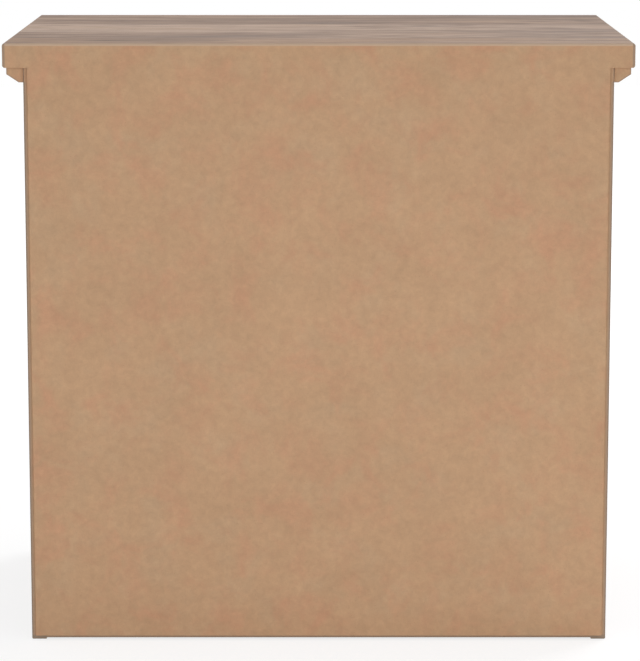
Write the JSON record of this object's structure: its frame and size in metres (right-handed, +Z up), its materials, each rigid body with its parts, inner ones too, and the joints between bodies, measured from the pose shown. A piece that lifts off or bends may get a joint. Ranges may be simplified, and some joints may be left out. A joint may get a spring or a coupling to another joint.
{
  "type": "nightstand",
  "caption": "Bedside cabinet of plank-effect laminated board with an overhanging top on a bevelled moulding, a raw hardboard back and drawers with knobs on ball-bearing slides.",
  "frame": {"origin": "on the floor below the middle of the top panel", "axes": "+Z up; the drawers open along -Y; the hardboard back faces +Y; +X is right as seen from the front"},
  "size_m": [0.622, 0.42, 0.604],
  "materials": {
    "plank_laminate": "matt embossed grey-brown plank print",
    "raw_hardboard": "raw mottled hardboard",
    "drawer_lining": "matt pale wood-effect wrap",
    "pine": "bare planed softwood",
    "zinc_steel": "bright zinc plate",
    "bearing_steel": "polished steel",
    "aged_bronze": "satin aged bronze",
    "black_plastic": "matt"
  },
  "bodies": {
    "case": {"top_panel": "plank_laminate", "left_side_panel": "plank_laminate", "right_side_panel": "plank_laminate", "back_panel": "raw_hardboard", "bottom_panel": "drawer_lining", "front_top_rail": "plank_laminate", "middle_rail": "plank_laminate", "front_plinth_rail": "plank_laminate", "rear_top_rail": "raw_hardboard", "rear_plinth_rail": "plank_laminate", "left_moulding": "plank_laminate", "right_moulding": "plank_laminate", "front_moulding": "plank_laminate", "left_top_cleat": "pine", "right_top_cleat": "pine", "plinth_corner_blocks": "pine", "rail_dowels": "pine", "cleat_screws": "zinc_steel", "outer_rail_screws": "zinc_steel", "slide_bumpers": "black_plastic", "upper_left_outer_rail": "zinc_steel", "upper_right_outer_rail": "zinc_steel", "lower_left_outer_rail": "zinc_steel", "lower_right_outer_rail": "zinc_steel"},
    "upper_drawer": {"upper_drawer_front": "plank_laminate", "upper_drawer_left_side": "drawer_lining", "upper_drawer_right_side": "drawer_lining", "upper_drawer_back": "drawer_lining", "upper_drawer_bottom": "drawer_lining", "upper_left_inner_rail": "zinc_steel", "upper_right_inner_rail": "zinc_steel", "upper_inner_rail_screws": "zinc_steel", "upper_knobs": "aged_bronze", "upper_knob_screws": "zinc_steel"},
    "lower_drawer": {"lower_drawer_front": "plank_laminate", "lower_drawer_left_side": "drawer_lining", "lower_drawer_right_side": "drawer_lining", "lower_drawer_back": "drawer_lining", "lower_drawer_bottom": "drawer_lining", "lower_left_inner_rail": "zinc_steel", "lower_right_inner_rail": "zinc_steel", "lower_inner_rail_screws": "zinc_steel", "lower_knobs": "aged_bronze", "lower_knob_screws": "zinc_steel"},
    "upper_ball_cages": {"upper_left_ball_cage": "zinc_steel", "upper_right_ball_cage": "zinc_steel", "upper_bearing_balls": "bearing_steel"},
    "lower_ball_cages": {"lower_left_ball_cage": "zinc_steel", "lower_right_ball_cage": "zinc_steel", "lower_bearing_balls": "bearing_steel"}
  },
  "joints": [
    {"name": "upper_drawer_slide", "type": "slide", "parent": "case", "child": "upper_drawer", "axis": [0, -1, 0], "range_m": [0, 0.25]},
    {"name": "upper_cage_slide", "type": "slide", "parent": "case", "child": "upper_ball_cages", "axis": [0, -1, 0], "range_m": [0, 0.125]},
    {"name": "lower_drawer_slide", "type": "slide", "parent": "case", "child": "lower_drawer", "axis": [0, -1, 0], "range_m": [0, 0.25]},
    {"name": "lower_cage_slide", "type": "slide", "parent": "case", "child": "lower_ball_cages", "axis": [0, -1, 0], "range_m": [0, 0.125]}
  ],
  "couplings": [
    {"joint": "upper_cage_slide", "follows": "upper_drawer_slide", "ratio": 0.5},
    {"joint": "lower_cage_slide", "follows": "lower_drawer_slide", "ratio": 0.5}
  ]
}
